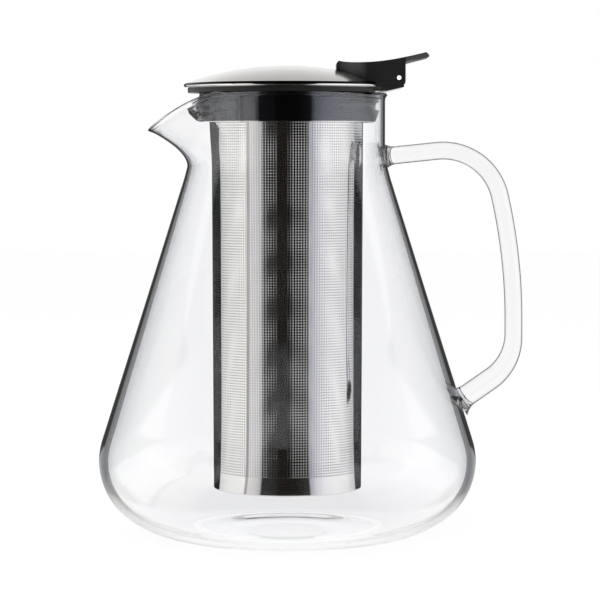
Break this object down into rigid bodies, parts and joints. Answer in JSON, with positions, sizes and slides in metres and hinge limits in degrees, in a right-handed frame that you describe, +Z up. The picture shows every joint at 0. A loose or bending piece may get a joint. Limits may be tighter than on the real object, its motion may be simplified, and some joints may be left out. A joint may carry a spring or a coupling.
{
  "type": "fruit infuser pitcher",
  "caption": "Glass jug with a pulled spout and rod handle, a perforated steel infuser basket hung in its neck, and a hinged steel lid with a thumb lever.",
  "frame": {"origin": "on the jug's axis, at the level of the flat ring that it stands on", "axes": "+Z up along the jug's axis, -X towards the spout, +X towards the handle and the lid's hinge"},
  "size_m": [0.1847, 0.1644, 0.2102],
  "materials": {
    "clear_glass": "clear, fire polished",
    "steel": "satin",
    "polished_steel": "polished",
    "perforated_steel": "perforated sheet, smooth",
    "smoky_silicone": "translucent grey silicone, smooth",
    "black_rubber": "satin",
    "black_plastic": "satin black"
  },
  "bodies": {
    "jug": {"glass_body": "clear_glass", "glass_handle": "clear_glass"},
    "infuser": {"collar": "steel", "neck_seal": "smoky_silicone", "rim_gasket": "black_rubber", "basket_wall": "perforated_steel", "basket_cup": "perforated_steel", "hinge_bracket": "steel", "bracket_rivets": "steel", "hinge_pin": "steel"},
    "lid": {"lid_dome": "polished_steel", "lid_pan": "steel", "lid_lever": "black_plastic", "lever_screws": "steel"}
  },
  "joints": [
    {"name": "infuser_lift", "type": "slide", "parent": "jug", "child": "infuser", "axis": [0, 0, 1], "range_m": [0, 0.185]},
    {"name": "lid_hinge", "type": "hinge", "parent": "infuser", "child": "lid", "pos_m": [0.0475, 0, 0.19895], "axis": [0, 1, 0], "range_deg": [0, 95]}
  ]
}
